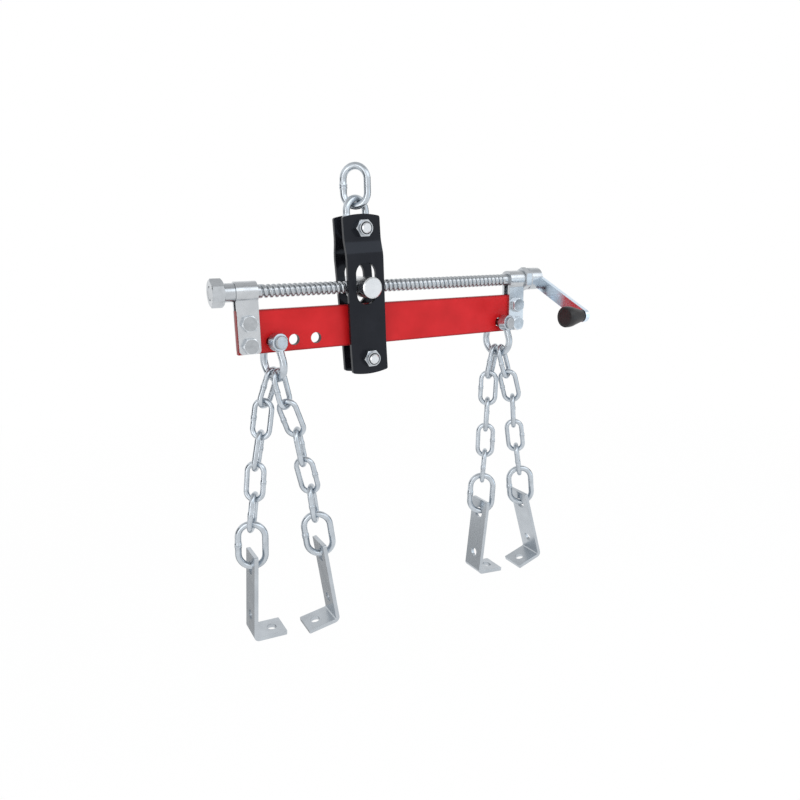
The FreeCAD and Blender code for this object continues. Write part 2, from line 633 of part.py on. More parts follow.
def add_pieces():
    parts["lifting_ring"] = lift_link(ring_foot_z, ring_yaw)
    parts["eye_link"] = lift_link(eye_foot_z, eye_yaw)
    parts["front_side_plate"] = side_plate(-1)
    parts["rear_side_plate"] = side_plate(1)
    bolt_seats = {"top_bolt": (0, top_half_gap), "bottom_bolt": (bottom_bolt_drop, foot_half_gap)}
    for label, seat in bolt_seats.items():
        parts[label] = carriage_bolt(*seat)
    parts["lock_nuts"] = Part.makeCompound([lock_nut(*seat) for seat in bolt_seats.values()])
    parts["lock_nut_inserts"] = Part.makeCompound([lock_insert(*seat) for seat in bolt_seats.values()])
    parts["bottom_roller"] = bottom_roller()
    parts["travelling_nut"] = travelling_nut()
    parts["beam"] = beam()
    clamp_places = []
    for side in ("left", "right"):
        parts[f"{side}_clamp_strap"] = clamp_strap(side)
        for z in clamp_bolt_z:
            clamp_places.append((strap_left[side] + strap_width / 2, z))
    bolts = [clamp_bolt(x, z, spin) for (x, z), spin in zip(clamp_places, clamp_head_spins)]
    parts["clamp_bolts"] = Part.makeCompound(bolts)
    parts["clamp_nuts"] = Part.makeCompound([clamp_nut(x, z) for x, z in clamp_places])
    parts["lead_screw"] = lead_screw()
    parts["end_nut"] = screw_nut(screw_left, end_nut_height)
    parts["spacer_sleeve"] = tube(sleeve_d / 2, screw_d / 2 + thread_clearance, sleeve_length,
                                  V(sleeve_left, 0, screw_z), X_AXIS)
    parts["jam_nut"] = screw_nut(jam_left, jam_nut_height)
    parts["crank_hub"] = crank_hub()
    parts["crank_roll_pin"] = roll_pin(roll_pin_d / 2)
    parts["crank_arm"] = crank_arm()
    parts["grip_spindle"] = grip_spindle()
    parts["crank_grip"] = crank_grip()
    for side in ("left", "right"):
        parts[f"{side}_shackle_bow"] = shackle_bow(side)
        parts[f"{side}_shackle_pin"] = shackle_pin(side)
    for name, plan in chains.items():
        add_chain(name, plan)


add_pieces()
os.makedirs("parts", exist_ok=True)
for label, shape in parts.items():
    shape.exportStep(f"parts/{label}.step")
    print(label, "solids", len(shape.Solids), "volume", round(shape.Volume, 1), "valid", shape.isValid())
for label, (wire_at, wire_way) in hinges.items():
    print(label, "swings about", wire_at, "along", wire_way)
for name, (hole_at, rotation) in bracket_places.items():
    print(name, "bracket hangs at", hole_at, "with its leg along", rotation.multVec(Z_AXIS))
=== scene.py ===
import json
import math

import bmesh
import bpy
from mathutils import Matrix, Vector


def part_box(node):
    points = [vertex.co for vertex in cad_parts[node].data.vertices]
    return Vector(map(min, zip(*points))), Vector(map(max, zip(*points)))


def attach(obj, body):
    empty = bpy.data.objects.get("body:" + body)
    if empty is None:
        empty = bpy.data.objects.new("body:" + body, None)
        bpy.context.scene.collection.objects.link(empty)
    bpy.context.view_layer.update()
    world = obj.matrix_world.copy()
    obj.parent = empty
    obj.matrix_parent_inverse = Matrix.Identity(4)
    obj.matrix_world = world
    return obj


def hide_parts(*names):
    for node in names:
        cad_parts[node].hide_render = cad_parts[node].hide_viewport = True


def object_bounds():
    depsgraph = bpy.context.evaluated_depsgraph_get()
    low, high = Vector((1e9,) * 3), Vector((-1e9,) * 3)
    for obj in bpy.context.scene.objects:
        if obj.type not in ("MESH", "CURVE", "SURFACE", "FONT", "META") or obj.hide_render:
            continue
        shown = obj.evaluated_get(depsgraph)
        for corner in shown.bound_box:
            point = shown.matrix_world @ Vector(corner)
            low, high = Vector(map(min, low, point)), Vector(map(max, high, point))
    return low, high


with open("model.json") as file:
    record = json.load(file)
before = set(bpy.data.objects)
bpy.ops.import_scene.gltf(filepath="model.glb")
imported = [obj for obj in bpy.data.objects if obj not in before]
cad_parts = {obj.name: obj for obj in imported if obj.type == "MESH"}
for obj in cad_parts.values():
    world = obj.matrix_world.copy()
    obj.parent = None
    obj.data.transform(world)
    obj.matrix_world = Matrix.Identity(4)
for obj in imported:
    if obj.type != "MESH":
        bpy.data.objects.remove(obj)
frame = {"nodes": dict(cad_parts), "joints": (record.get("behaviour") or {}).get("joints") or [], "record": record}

cad_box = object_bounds()

# Engine load leveler: zinc-plated hardware on a red beam with black carriage plates, in metres.
# +X runs along the beam towards the crank, -Y faces the viewer, +Z is up.
# The origin is under the crown of the lifting ring.

MM = 0.001
X_AXIS = Vector((1, 0, 0))
Y_AXIS = Vector((0, 1, 0))
Z_AXIS = Vector((0, 0, 1))
FULL_TURN = 2 * math.pi

CHAINS = ("left_outer", "left_inner", "right_inner", "right_outer")
LINKS_PER_CHAIN = 5

# Vertices closer than this are joined
JOIN_GAP = 0.005 * MM
WIRE_JOIN_GAP = 0.01 * MM

# Edges that bend more than this are shaded sharp
SHARP = math.radians(35)
GRIP_SHARP = math.radians(30)
SCREW_SHARP = math.radians(40)
ALL_SMOOTH = math.radians(180)

# Round-wire pieces: outside length, outside width, wire
LIFT_SIZES = (54.0 * MM, 39.0 * MM, 8.5 * MM)
CHAIN_SIZES = (52.2 * MM, 27.5 * MM, 6.5 * MM)
RING_SIZES = (63.5 * MM, 41.0 * MM, 8.0 * MM)
WIRE_SIDES = 28
WIRE_BEND_STEPS = 22

# Butt weld on one leg of a link, from its middle on: place along the leg, in wire diameters, and how much
# the wire swells there
WELD_HALF = ((0.03, 0.06), (0.08, 0.15), (0.18, 0.17), (0.30, 0.12), (0.42, 0.03), (0.70, 0.0))
WELD_FORM = [(-place, swell) for place, swell in reversed(WELD_HALF)] + list(WELD_HALF)

# Screw
THREAD_PITCH = 6.4 * MM
THREAD_DEPTH = 2.5 * MM
THREAD_STEPS = 24
CREST_DROP = 0.1 * MM
SCREW_END_CHAMFER = 1.2 * MM
# Rolled thread, from mid-crest to the root: share of the pitch, and of the depth below the crest
THREAD_HALF = ((0.0, 0.0), (0.10, 0.02), (0.20, 0.09), (0.28, 0.21), (0.35, 0.40), (0.41, 0.68),
               (0.46, 1.0))
THREAD_FORM = list(THREAD_HALF) + [(1 - share, depth) for share, depth in reversed(THREAD_HALF)]

# Grip: radius of its narrow end and of its bore, and lengths from its wide end to the taper and to the bore
GRIP_NARROW = 7.5 * MM
GRIP_BORE = 4.05 * MM
GRIP_RIM = 9.0 * MM
GRIP_CAP = 2.5 * MM
# Rounding of its wide end, depth of the dish there, and how far in the dish begins
GRIP_ROUND = 2.0 * MM
GRIP_DISH = 1.0 * MM
GRIP_DISH_EDGE = 2.6 * MM
GRIP_SIDES = 64

# Rolled spring pin in the crank hub
PIN_WALL = 1.0 * MM
PIN_SLIT = math.radians(40)
PIN_SIDES = 40

# Forged shackle bows
FORGING_VOXEL = 0.5 * MM
FORGING_FLOW = 0.5
FORGING_ROUNDS = 10

# Rounded edges: their width on plates, brackets, bars and fasteners, and the steps across them
PLATE_EDGE = 0.7 * MM
BRACKET_EDGE = 0.6 * MM
BAR_EDGE = 0.5 * MM
SHACKLE_PIN_EDGE = 0.4 * MM
FASTENER_EDGE = 0.3 * MM
INSERT_EDGE = 0.2 * MM
FINE_STEPS = 2
WIDE_STEPS = 3

# Faces that meet under FLAT_ANGLE make one flat, over BEND_ANGLE a bend and over EDGE_ANGLE an edge
FLAT_ANGLE = math.radians(0.5)
BEND_ANGLE = math.radians(10)
EDGE_ANGLE = math.radians(30)

# Bends of the carriage plates, and tips of the bolts
PLATE_BEND = 4.0 * MM
PLATE_BEND_STEPS = 6
BOLT_CHAMFER = 1.2 * MM
BOLT_TIP_DEPTH = 0.05 * MM

joints = {joint["name"]: joint for joint in frame["joints"]}
body_of = {}
for body_name, members in frame["record"]["behaviour"]["bodies"].items():
    for member in members:
        body_of[member] = body_name


def joint_place(name):
    """Place of a joint at rest."""
    return Vector(joints[name]["pos_m"])


def joint_way(name):
    """Direction of a joint's axis at rest."""
    return Vector(joints[name]["axis"]).normalized()


def middle(node):
    """Middle of a node's box."""
    low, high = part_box(node)
    return (low + high) / 2


# Finishes

# A finish has its one tone where the noise is under the first value, and its other tone over the second
NOISE_LOW = 0.30
NOISE_HIGH = 0.70

# Zinc plating: grains per metre, and strength and depth of its dents
ZINC_GRAIN = 700.0
ZINC_DENT = 0.05
ZINC_DEPTH = 0.04 * MM

# Paint: shades, orange peel and dust per metre, noise at each shade, strength and depth of its dents
PAINT_SHADES = 30.0
PAINT_PEEL = 420.0
PAINT_DUST = 2600.0
PAINT_STOPS = (0.30, 0.50, 0.72)
PAINT_DENT = 0.10
PAINT_DEPTH = 0.10 * MM

# Moulded rubber and nylon: shades per metre, shine, dents, and how far the roughness varies down and up
MOULD_SHADES = 70.0
MOULD_SHINE = 0.4
MOULD_DENT = 0.3
MOULD_DEPTH = 0.15 * MM
SMOOTHER = 0.08
ROUGHER = 0.10

# Painted shade: the walls of the open holes in the beam, and its rims and ends, painted darker than its faces
HOLE_PAINTED_SHADE = (0.030, 0.002, 0.002)
HOLE_REACH = 6.6 * MM
RIM_PAINTED_SHADE = (0.24, 0.005, 0.008)
RIM_REACH = 2.6 * MM

# Clamp bolts: drop below the beam's top edge, radius of a head's face, and tones of the painted highlight on its
# flats, which are brighter than the face
BOLT_DROPS = (14.3 * MM, 39.7 * MM)
HEAD_FACE = 8.15 * MM
FLATS_PAINTED_HIGHLIGHT = (0.64, 0.72)


def reckoned(tree, operation, first, second):
    """Result of a Math node on a socket and either a second socket or a number."""
    node = tree.nodes.new("ShaderNodeMath")
    node.operation = operation
    tree.links.new(first, node.inputs[0])
    if isinstance(second, bpy.types.NodeSocket):
        tree.links.new(second, node.inputs[1])
    else:
        node.inputs[1].default_value = second
    return node.outputs["Value"]


def spread_out(tree, source, low, high, start, stop):
    """Value that goes from low to high while the source goes from start to stop."""
    node = tree.nodes.new("ShaderNodeMapRange")
    node.inputs["From Min"].default_value = start
    node.inputs["From Max"].default_value = stop
    node.inputs["To Min"].default_value = low
    node.inputs["To Max"].default_value = high
    tree.links.new(source, node.inputs["Value"])
    return node.outputs["Result"]


class Finish:
    """Node tree of one material, with the few links that the finishes below share."""

    def __init__(self, name):
        self.material = bpy.data.materials.new(name)
        self.material.use_nodes = True
        self.tree = self.material.node_tree
        self.nodes = self.tree.nodes
        self.links = self.tree.links
        self.shader = self.nodes["Principled BSDF"]
        self.coordinates = self.nodes.new("ShaderNodeTexCoord").outputs["Object"]

    def set(self, **values):
        """Gives inputs of the shader plain values."""
        for socket, value in values.items():
            self.shader.inputs[socket.replace("_", " ")].default_value = value

    def to(self, socket, source):
        """Links a source to an input of the shader."""
        self.links.new(source, self.shader.inputs[socket])

    def stretched(self, scale, shift=(0, 0, 0)):
        """The object's coordinates, scaled and then shifted."""
        node = self.nodes.new("ShaderNodeMapping")
        node.inputs["Scale"].default_value = scale
        node.inputs["Location"].default_value = shift
        self.links.new(self.coordinates, node.inputs["Vector"])
        return node.outputs["Vector"]

    def noise(self, scale, detail, roughness, vector=None):
        """Cloudy values between 0 and 1, with scale as the clouds per metre."""
        node = self.nodes.new("ShaderNodeTexNoise")
        node.inputs["Scale"].default_value = scale
        node.inputs["Detail"].default_value = detail
        node.inputs["Roughness"].default_value = roughness
        self.links.new(vector or self.coordinates, node.inputs["Vector"])
        return node.outputs["Fac"]

    def ramp(self, source, stops):
        """Colours blended between the stops, each a value of the source and the colour there."""
        node = self.nodes.new("ShaderNodeValToRGB")
        while len(node.color_ramp.elements) < len(stops):
            node.color_ramp.elements.new(0.5)
        for element, (place, colour) in zip(node.color_ramp.elements, stops):
            element.position = place
            element.color = (*colour, 1.0)
        self.links.new(source, node.inputs["Fac"])
        return node.outputs["Color"]

    def spread(self, source, low, high, start=NOISE_LOW, stop=NOISE_HIGH):
        """Value that goes from low to high with the noise, or between two other values of the source."""
        return spread_out(self.tree, source, low, high, start, stop)

    def vector(self, operation, source, value=(0, 0, 0), output="Vector"):
        """Result of a Vector Math node on a socket and a fixed vector."""
        node = self.nodes.new("ShaderNodeVectorMath")
        node.operation = operation
        node.inputs[1].default_value = value
        self.links.new(source, node.inputs[0])
        return node.outputs[output]

    def inside(self, centres, radius):
        """1 within the radius of any of the lines that run through the centres along Y, and 0 elsewhere."""
        flat = self.vector("MULTIPLY", self.coordinates, (1, 0, 1))
        found = None
        for centre in centres:
            distance = self.vector("DISTANCE", flat, (centre.x, 0, centre.z), output="Value")
            near = reckoned(self.tree, "LESS_THAN", distance, radius)
            found = near if found is None else reckoned(self.tree, "MAXIMUM", found, near)
        return found

    def near_rim(self, low, high, reach):
        """0 inside a flat bar that lies in X and Z, rising to 1 over the last reach before its rim."""
        inner = (high - low) / 2 - Vector((reach, reach, reach))
        out = self.vector("ABSOLUTE", self.vector("SUBTRACT", self.coordinates, (low + high) / 2))
        apart = self.nodes.new("ShaderNodeSeparateXYZ")
        self.links.new(self.vector("SUBTRACT", out, inner), apart.inputs["Vector"])
        past = reckoned(self.tree, "MAXIMUM", apart.outputs["X"], apart.outputs["Z"])
        return self.spread(past, 0.0, 1.0, start=0.0, stop=reach)

    def covered(self, source, cover, share):
        """The source, with a plain colour or another source over it where the share is 1."""
        node = self.nodes.new("ShaderNodeMix")
        node.data_type = "RGBA"
        self.links.new(share, node.inputs["Factor"])
        self.links.new(source, node.inputs["A"])
        if isinstance(cover, bpy.types.NodeSocket):
            self.links.new(cover, node.inputs["B"])
        else:
            node.inputs["B"].default_value = (*cover, 1.0)
        return node.outputs["Result"]

    def bump(self, sources, strength, distance):
        """Dents from each of the sources, one laid over the other."""
        normal = None
        for source in sources:
            node = self.nodes.new("ShaderNodeBump")
            node.inputs["Strength"].default_value = strength
            node.inputs["Distance"].default_value = distance
            self.links.new(source, node.inputs["Height"])
            if normal is not None:
                self.links.new(normal, node.inputs["Normal"])
            normal = node.outputs["Normal"]
        self.to("Normal", normal)


def grey(level, tint=0.0):
    """Neutral grey with a little blue."""
    return (level * (1 - tint), level, level * (1 + tint))


def zinc(name, tones, rough, blue=0.05, grain=(1.0, 1.0, 1.0), cloud=90.0, heads=()):
    """Bright zinc plating: cloudy tones, uneven gloss and a fine grain, and a painted highlight that makes the
    flats of bolt heads brighter.

    A grain under 1 draws the grain out along that axis, and cloud is the number of clouds per metre.
    """
    finish = Finish(name)
    finish.set(Metallic=1.0)
    clouds = finish.noise(cloud, detail=5.0, roughness=0.55)
    grains = finish.noise(ZINC_GRAIN, detail=3.0, roughness=0.5, vector=finish.stretched(grain))

    def cloudy(dark, light):
        return finish.ramp(clouds, ((NOISE_LOW, grey(dark, blue)), (NOISE_HIGH, grey(light, blue))))

    colour = cloudy(*tones)
    if heads:
        # Painted highlight: the flats of the bolt heads are painted brighter than their faces
        colour = finish.covered(cloudy(*FLATS_PAINTED_HIGHLIGHT), colour, finish.inside(heads, HEAD_FACE))
    smooth, dull = rough
    finish.to("Base Color", colour)
    finish.to("Roughness", finish.spread(clouds, dull, smooth))
    finish.bump((grains, clouds), ZINC_DENT, ZINC_DEPTH)
    return finish.material


def paint(name, shades, rough, shine, sheen=(1.0, 1.0, 1.0, 1.0), holes=(), bar=None):
    """Sprayed paint: slight shade changes, orange peel, specks of dust, and painted shade on the rims and in the
    holes.
    """
    finish = Finish(name)
    finish.set(Specular_IOR_Level=shine, Specular_Tint=sheen)
    clouds = finish.noise(PAINT_SHADES, detail=5.0, roughness=0.55)
    peels = finish.noise(PAINT_PEEL, detail=2.0, roughness=0.5)
    dust = finish.noise(PAINT_DUST, detail=1.0, roughness=0.4)
    colour = finish.ramp(clouds, tuple(zip(PAINT_STOPS, shades)))
    if bar:
        # Painted shade: the rims and ends of the bar are painted darker
        colour = finish.covered(colour, RIM_PAINTED_SHADE, finish.near_rim(*bar, RIM_REACH))
    if holes:
        # Painted shade: the walls of the holes are painted dark
        colour = finish.covered(colour, HOLE_PAINTED_SHADE, finish.inside(holes, HOLE_REACH))
    finish.to("Base Color", colour)
    finish.to("Roughness", finish.spread(clouds, *rough))
    finish.bump((peels, dust), PAINT_DENT, PAINT_DEPTH)
    return finish.material


def moulded(name, dark, light, rough, grain):
    """Moulded rubber or plastic with a fine grain."""
    finish = Finish(name)
    finish.set(Specular_IOR_Level=MOULD_SHINE)
    clouds = finish.noise(MOULD_SHADES, detail=4.0, roughness=0.6)
    grains = finish.noise(grain, detail=2.0, roughness=0.5)
    finish.to("Base Color", finish.ramp(clouds, ((NOISE_LOW, dark), (NOISE_HIGH, light))))
    finish.to("Roughness", finish.spread(grains, rough - SMOOTHER, rough + ROUGHER))
    finish.bump((grains,), MOULD_DENT, MOULD_DEPTH)
    return finish.material


mounts = frame["record"]["mounts"]
open_holes = [Vector(mount["pos_m"]) for mount in mounts if "spare_hole" in mount["name"]]
beam_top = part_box("beam")[1].z
bolt_heads = [Vector((middle(strap).x, 0, beam_top - drop))
              for strap in ("left_clamp_strap", "right_clamp_strap") for drop in BOLT_DROPS]

zinc_strap = zinc("zinc_on_straps", tones=(0.54, 0.62), rough=(0.22, 0.32), blue=0.04)
zinc_collar = zinc("zinc_on_collars", tones=(0.50, 0.58), rough=(0.20, 0.30))
zinc_bracket = zinc("zinc_on_brackets", tones=(0.49, 0.57), rough=(0.22, 0.32), blue=0.07,
                    grain=(1.0, 1.0, 0.12), cloud=45.0)
# Painted reflection: the crank arm's zinc is lighter and bluer than the other zinc, standing in for the bluish
# light it reflects
zinc_arm_painted_reflection = zinc("zinc_on_crank_arm", tones=(0.80, 0.86), rough=(0.16, 0.24), blue=0.14)
zinc_wire = zinc("zinc_on_wire", tones=(0.50, 0.63), rough=(0.20, 0.30), blue=0.08, cloud=110.0)
zinc_screw = zinc("zinc_on_screw", tones=(0.46, 0.56), rough=(0.15, 0.24), grain=(0.15, 1.0, 1.0))
zinc_bolt = zinc("zinc_on_bolts", tones=(0.40, 0.50), rough=(0.18, 0.30), cloud=180.0)
zinc_head = zinc("zinc_on_bolt_heads", tones=(0.40, 0.50), rough=(0.18, 0.30), cloud=180.0,
                 heads=bolt_heads)
zinc_nut = zinc("zinc_on_nuts", tones=(0.50, 0.60), rough=(0.16, 0.28), cloud=180.0)
zinc_turned = zinc("zinc_on_turned_ends", tones=(0.69, 0.79), rough=(0.20, 0.30), blue=0.03,
                   grain=(1.0, 0.1, 1.0))
# The beam's paint carries painted shade in its open holes and along its rims and ends
red_paint = paint("red_beam_paint",
                  shades=((0.50, 0.008, 0.010), (0.55, 0.010, 0.013), (0.61, 0.014, 0.018)),
                  rough=(0.32, 0.42), shine=0.25, holes=open_holes, bar=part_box("beam"))
# Painted reflection: the blue tint on the black paint's reflections stands in for bluish light
black_paint = paint("black_plate_paint",
                    shades=((0.005, 0.005, 0.007), (0.007, 0.007, 0.009), (0.010, 0.010, 0.013)),
                    rough=(0.12, 0.20), shine=0.28, sheen=(0.76, 0.85, 1.0, 1.0))
grip_rubber = moulded("grip_rubber", dark=(0.008, 0.008, 0.009), light=(0.016, 0.015, 0.016),
                      rough=0.40, grain=1500.0)
nut_nylon = moulded("lock_nut_nylon", dark=(0.012, 0.014, 0.020), light=(0.026, 0.030, 0.040),
                    rough=0.40, grain=1100.0)


# Pieces
def mesh_object(name, bm, material):
    """New object at the origin, with its place in its mesh."""
    mesh = bpy.data.meshes.new(name)
    bm.to_mesh(mesh)
    bm.free()
    mesh.materials.append(material)
    new_object = bpy.data.objects.new(name, mesh)
    bpy.context.scene.collection.objects.link(new_object)
    return new_object


def add_piece(name, bm, material, node, sharp=SHARP):
    """Makes a mesh, smooth up to an angle, that rides with its node and stands for it."""
    for face in bm.faces:
        face.smooth = True
    for edge in bm.edges:
        edge.smooth = len(edge.link_faces) == 2 and edge.calc_face_angle(0.0) < sharp
    piece = mesh_object(name, bm, material)
    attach(piece, body_of[node])
    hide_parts(node)
    return piece


def closed_up(bm, gap=JOIN_GAP):
    """Joins the seams of a closed skin and turns its faces outwards."""
    bmesh.ops.remove_doubles(bm, verts=bm.verts, dist=gap)
    bmesh.ops.recalc_face_normals(bm, faces=bm.faces)


def placed(bm, centre, side, up):
    """Moves a bmesh drawn with X to the side and Z up to its place."""
    up = up.normalized()
    side = (side - up * side.dot(up)).normalized()
    front = up.cross(side)
    matrix = Matrix((side, front, up)).transposed().to_4x4()
    bmesh.ops.transform(bm, matrix=Matrix.Translation(centre) @ matrix, verts=bm.verts)
    return bm


def loop_parts(result):
    """Vertices and edges in what a bmesh operator gives back."""
    verts = [item for item in result if isinstance(item, bmesh.types.BMVert)]
    edges = [item for item in result if isinstance(item, bmesh.types.BMEdge)]
    return verts, edges


def drawn_on(bm, edges, step, scale=1.0):
    """Extrudes a loop of edges, moves it by step and swells it about its own middle."""
    verts, edges = loop_parts(bmesh.ops.extrude_edge_only(bm, edges=edges)["geom"])
    bmesh.ops.translate(bm, vec=step, verts=verts)
    if scale != 1.0:
        hub = sum((vert.co for vert in verts), Vector()) / len(verts)
        bmesh.ops.scale(bm, vec=(scale, scale, scale), space=Matrix.Translation(-hub), verts=verts)
    return edges


def half_bend(bm, edges, centre):
    """Bends the wire half a turn in the X-Z plane, and gives the loop that it ends in."""
    result = bmesh.ops.spin(bm, geom=edges, cent=centre, axis=-Y_AXIS, angle=math.pi, steps=WIRE_BEND_STEPS)
    return loop_parts(result["geom_last"])[1]


def oval_link(length, width, wire):
    """Welded link of round wire, drawn in the X-Z plane about the origin."""
    bend = (width - wire) / 2
    half = (length - width) / 2
    bm = bmesh.new()
    section = Matrix.Translation((bend, 0, half))
    start = bmesh.ops.create_circle(bm, segments=WIRE_SIDES, radius=wire / 2, matrix=section)["verts"]
    edges = list({edge for vert in start for edge in vert.link_edges})
    edges = half_bend(bm, edges, (0, 0, half))
    reached, swollen = half, 1.0
    for place, swell in WELD_FORM:
        level = -place * wire
        edges = drawn_on(bm, edges, Vector((0, 0, level - reached)), (1 + swell) / swollen)
        reached, swollen = level, 1 + swell
    edges = drawn_on(bm, edges, Vector((0, 0, -half - reached)))
    edges = half_bend(bm, edges, (0, 0, -half))
    drawn_on(bm, edges, Vector((0, 0, 2 * half)))
    closed_up(bm, WIRE_JOIN_GAP)
    return bm


def wire_link(node, sizes, foot, side):
    """Link in a node's place that hangs towards its foot and lies in the plane of its side."""
    centre = middle(node)
    bm = placed(oval_link(*sizes), centre, side, centre - foot)
    return add_piece(node + "_wire", bm, zinc_wire, node)


def lifting_links():
    """Lifting ring, and the eye link under it, whose box shows which way it is turned."""
    wire_link("lifting_ring", LIFT_SIZES, joint_place("eye_swing"), joint_way("eye_swing"))
    low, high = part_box("eye_link")
    wire = LIFT_SIZES[-1]
    side = Vector((high.x - low.x - wire, high.y - low.y - wire, 0))
    wire_link("eye_link", LIFT_SIZES, middle("eye_link") - Z_AXIS, side)


def chain_links(chain):
    """Links and end ring of a chain, each turned by the joint of the piece below it."""
    labels = [f"link_{k}" for k in range(1, LINKS_PER_CHAIN + 1)] + ["ring", "bracket"]
    for label, below in zip(labels, labels[1:]):
        sizes = RING_SIZES if label == "ring" else CHAIN_SIZES
        swing = f"{chain}_{below}_swing"
        wire_link(f"{chain}_{label}", sizes, joint_place(swing), joint_way(swing))


def node_copy(node):
    """Mesh of a node with its triangles joined to a closed skin."""
    bm = bmesh.new()
    bm.from_mesh(frame["nodes"][node].data)
    bmesh.ops.remove_doubles(bm, verts=bm.verts, dist=JOIN_GAP)
    return bm


def eased(bm, edges, width, steps):
    """Rounds edges over, or chamfers them with a single step."""
    bmesh.ops.bevel(bm, geom=edges, offset=width, offset_type="OFFSET", segments=steps, profile=0.5,
                    affect="EDGES", clamp_overlap=True, material=-1)


def softened(node, material, width, steps=FINE_STEPS, tip_way=0, bend=0.0):
    """Copy of a node with its sharp edges rounded over.

    Bolts have a chamfer at the end that tip_way points to along Y, and bent plates get a wide bend.
    """
    bm = node_copy(node)
    bmesh.ops.dissolve_limit(bm, angle_limit=FLAT_ANGLE, verts=bm.verts, edges=bm.edges)
    if tip_way:
        tip = max(tip_way * vert.co.y for vert in bm.verts) - BOLT_TIP_DEPTH
        rims = [edge for edge in bm.edges if all(tip_way * vert.co.y > tip for vert in edge.verts)]
        eased(bm, rims, BOLT_CHAMFER, steps=1)
    if bend:
        bends = [edge for edge in bm.edges if BEND_ANGLE < edge.calc_face_angle(0.0) < EDGE_ANGLE]
        eased(bm, bends, bend, PLATE_BEND_STEPS)
    edges = [edge for edge in bm.edges
             if len(edge.link_faces) == 2 and edge.calc_face_angle(0.0) > EDGE_ANGLE]
    eased(bm, edges, width, steps)
    piece = add_piece(node + "_rounded", bm, material, node)
    even = piece.modifiers.new("even_flats", "WEIGHTED_NORMAL")
    even.keep_sharp = True
    return piece


def forged(node, material):
    """Copy of a node whose eyes and legs flow into one another, as on a forging."""
    piece = add_piece(node + "_forged", node_copy(node), material, node, ALL_SMOOTH)
    skin = piece.modifiers.new("skin", "REMESH")
    skin.mode = "VOXEL"
    skin.voxel_size = FORGING_VOXEL
    skin.use_smooth_shade = True
    flow = piece.modifiers.new("flow", "SMOOTH")
    flow.factor = FORGING_FLOW
    flow.iterations = FORGING_ROUNDS
    return piece


def joined_up(bm, places):
    """Line of vertices and edges through the places."""
    verts = [bm.verts.new(place) for place in places]
    edges = [bm.edges.new(pair) for pair in zip(verts, verts[1:])]
    return verts, edges


def grip():
    """Tapered grip with a dished wide end, turned from a line of (along X, radius) places."""
    low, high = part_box("crank_grip")
    centre = Vector((low.x, (low.y + high.y) / 2, (low.z + high.z) / 2))
    length = high.x - low.x
    wide = (high.z - low.z) / 2
    slope = math.atan2(wide - GRIP_NARROW, length - GRIP_RIM)
    soft = GRIP_ROUND * math.sin(math.radians(45))
    places = [(GRIP_DISH, 0.0),
              (GRIP_DISH, wide - GRIP_DISH_EDGE - GRIP_DISH),
              (0.0, wide - GRIP_DISH_EDGE),
              (0.0, wide - GRIP_ROUND),
              (GRIP_ROUND - soft, wide - GRIP_ROUND + soft),
              (GRIP_ROUND, wide),
              (GRIP_RIM - GRIP_ROUND, wide),
              (GRIP_RIM + GRIP_ROUND * math.cos(slope), wide - GRIP_ROUND * math.sin(slope)),
              (length, GRIP_NARROW),
              (length, GRIP_BORE),
              (GRIP_CAP, GRIP_BORE),
              (GRIP_CAP, 0.0)]
    bm = bmesh.new()
    verts, edges = joined_up(bm, [centre + Vector((along, 0, radius)) for along, radius in places])
    bmesh.ops.spin(bm, geom=verts + edges, cent=centre, axis=X_AXIS, angle=FULL_TURN, steps=GRIP_SIDES,
                   use_merge=True)
    closed_up(bm)
    return add_piece("grip_moulding", bm, grip_rubber, "crank_grip", GRIP_SHARP)


def spring_pin():
    """Rolled pin: a hollow tube with a slit along it."""
    low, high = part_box("crank_roll_pin")
    centre = (low + high) / 2
    outer = (high.x - low.x) / 2
    inner = outer - PIN_WALL
    bm = bmesh.new()
    corners = [(inner, low.z), (outer, low.z), (outer, high.z), (inner, high.z)]
    verts = [bm.verts.new((centre.x + radius, centre.y, height)) for radius, height in corners]
    wall = bm.faces.new(verts)
    geometry = verts + list(wall.edges) + [wall]
    bmesh.ops.spin(bm, geom=geometry, cent=centre, axis=Z_AXIS, angle=FULL_TURN - PIN_SLIT, steps=PIN_SIDES)
    bmesh.ops.recalc_face_normals(bm, faces=bm.faces)
    return add_piece("spring_pin", bm, zinc_bolt, "crank_roll_pin")


def lay_loop(bm, edges, axis_point, x, radius):
    """Extrudes a loop round the screw and lays it flat at x, on a circle about the screw's axis."""
    verts, edges = loop_parts(bmesh.ops.extrude_edge_only(bm, edges=edges)["geom"])
    for vert in verts:
        out = Vector((0, vert.co.y - axis_point.y, vert.co.z - axis_point.z)).normalized()
        vert.co = Vector((x, axis_point.y, axis_point.z)) + out * radius
    return edges


def screw_rim(bm, axis_point, way):
    """Open edges at one end of the screw."""
    return [edge for edge in bm.edges
            if edge.is_boundary and way * (edge.verts[0].co.x - axis_point.x) > 0]


